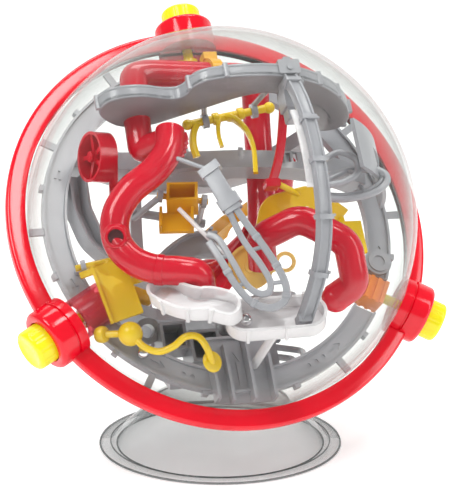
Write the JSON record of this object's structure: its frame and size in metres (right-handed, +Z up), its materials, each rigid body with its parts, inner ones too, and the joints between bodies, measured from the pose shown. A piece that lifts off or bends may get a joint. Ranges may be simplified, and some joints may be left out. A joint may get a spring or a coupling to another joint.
{
  "type": "maze ball puzzle",
  "caption": "Clear sphere on a cone stand, with a three-dimensional ball maze of tracks, tubes, trays and levers inside and turning knobs on a red equator ring.",
  "frame": {"origin": "middle of the whole object's footprint, on the table plane; the stand's axis is 4.87 mm to the left of it", "axes": "+Z up, -Y toward the front; the sphere's ring plane leans back with its front dome facing up, to the front and to the right"},
  "size_m": [0.2184, 0.196, 0.2173],
  "materials": {
    "ball_steel": "polished steel",
    "clear_dome": "clear polished polycarbonate",
    "clear_red": "clear red moulded plastic",
    "clear_stand": "clear smoky polystyrene",
    "clear_yellow": "clear yellow moulded plastic",
    "gloss_red": "bright red moulded ABS, high gloss",
    "knob_yellow": "neon yellow moulded ABS",
    "maze_dark_grey": "dark grey moulded ABS",
    "maze_grey": "light grey moulded ABS",
    "maze_red": "red moulded ABS",
    "maze_yellow": "warm yellow moulded ABS",
    "milky_white": "milky white moulded plastic",
    "rotor_orange": "orange moulded ABS",
    "screw_steel": "zinc-plated screws"
  },
  "bodies": {
    "stand": {"stand": "clear_stand"},
    "top_knob": {"knob_top": "knob_yellow", "shaft_top": "knob_yellow", "rotor_top": "maze_yellow"},
    "left_knob": {"knob_left": "knob_yellow", "shaft_left": "knob_yellow", "rotor_left": "rotor_orange"},
    "right_knob": {"knob_right": "knob_yellow", "shaft_right": "knob_yellow", "rotor_right": "rotor_orange"},
    "star_wheel": {"star_wheel": "maze_red"},
    "branch_lever": {"branch_lever": "maze_yellow"},
    "gate": {"gate_plate": "maze_yellow"},
    "bucket": {"tipping_bucket": "maze_yellow"},
    "tray_ball": {"tray_ball": "ball_steel"},
    "track_ball": {"track_ball": "ball_steel"},
    "ball": {"arc_rail": "maze_grey", "arch_tube": "maze_red", "back_plate": "maze_grey", "bent_inlet": "maze_red", "bucket_yoke": "maze_grey", "cradle": "clear_yellow", "equator_track": "maze_grey", "front_dome": "clear_dome", "gate_eyes": "maze_grey", "guide_strip": "milky_white", "hairpin_rails": "maze_grey", "housing_left": "gloss_red", "housing_right": "gloss_red", "housing_top": "gloss_red", "left_trough": "maze_grey", "lever_eyes": "maze_grey", "looped_rods": "maze_grey", "lower_maze": "maze_dark_grey", "mid_track": "maze_grey", "pill_tray": "milky_white", "rear_arc": "maze_grey", "rear_channel": "maze_grey", "rear_deck": "maze_grey", "rear_dome": "clear_dome", "rear_slide": "maze_yellow", "rear_tube": "maze_red", "red_chute": "maze_red", "red_strip": "maze_red", "ring_front": "gloss_red", "ring_rear": "gloss_red", "ring_screws": "screw_steel", "s_rod": "maze_yellow", "s_tray": "milky_white", "s_tube": "maze_red", "start_ramp": "maze_grey", "strip_peg": "maze_yellow", "top_tube": "maze_red", "tube_band": "maze_yellow", "upper_deck": "maze_grey", "wheel_axle": "maze_red", "white_rod": "milky_white", "window_left": "clear_red", "yellow_disc": "maze_yellow", "yellow_flap": "maze_yellow"}
  },
  "joints": [
    {"name": "ball_lift", "type": "slide", "parent": "stand", "child": "ball", "axis": [0, 0, 1], "range_m": [0, 0.12]},
    {"name": "top_knob_turn", "type": "hinge", "parent": "ball", "child": "top_knob", "pos_m": [-0.02216, 0.05771, 0.19461], "axis": [-0.1729, 0.5771, 0.7981], "continuous": true},
    {"name": "left_knob_turn", "type": "hinge", "parent": "ball", "child": "left_knob", "pos_m": [-0.07818, -0.05675, 0.07731], "axis": [-0.7331, -0.5675, -0.3749], "continuous": true},
    {"name": "right_knob_turn", "type": "hinge", "parent": "ball", "child": "right_knob", "pos_m": [0.08573, -0.00096, 0.07248], "axis": [0.906, -0.0096, -0.4232], "continuous": true},
    {"name": "star_wheel_spin", "type": "hinge", "parent": "ball", "child": "star_wheel", "pos_m": [-0.06399, -0.02171, 0.15277], "axis": [-0.8494, -0.5043, 0.1556], "continuous": true},
    {"name": "branch_lever_rock", "type": "hinge", "parent": "ball", "child": "branch_lever", "pos_m": [0.01945, 0.00801, 0.17191], "axis": [-0.9602, -0.2266, -0.1636], "range_deg": [-14, 14]},
    {"name": "gate_swing", "type": "hinge", "parent": "ball", "child": "gate", "pos_m": [-0.07369, -0.04712, 0.10389], "axis": [0.9724, 0.1356, 0.1901], "range_deg": [-2, 7]},
    {"name": "bucket_tip", "type": "hinge", "parent": "ball", "child": "bucket", "pos_m": [-0.03531, -0.02679, 0.13509], "axis": [0.9859, 0.0809, -0.1466], "range_deg": [-8, 16]},
    {"name": "tray_ball_roll", "type": "slide", "parent": "ball", "child": "tray_ball", "axis": [0.9957, 0.0762, 0.0528], "range_m": [0, 0.018]},
    {"name": "track_ball_run", "type": "hinge", "parent": "ball", "child": "track_ball", "pos_m": [-0.00487, 0, 0.1148], "axis": [0.2731, -0.7505, 0.6018], "range_deg": [-2, 16]}
  ]
}
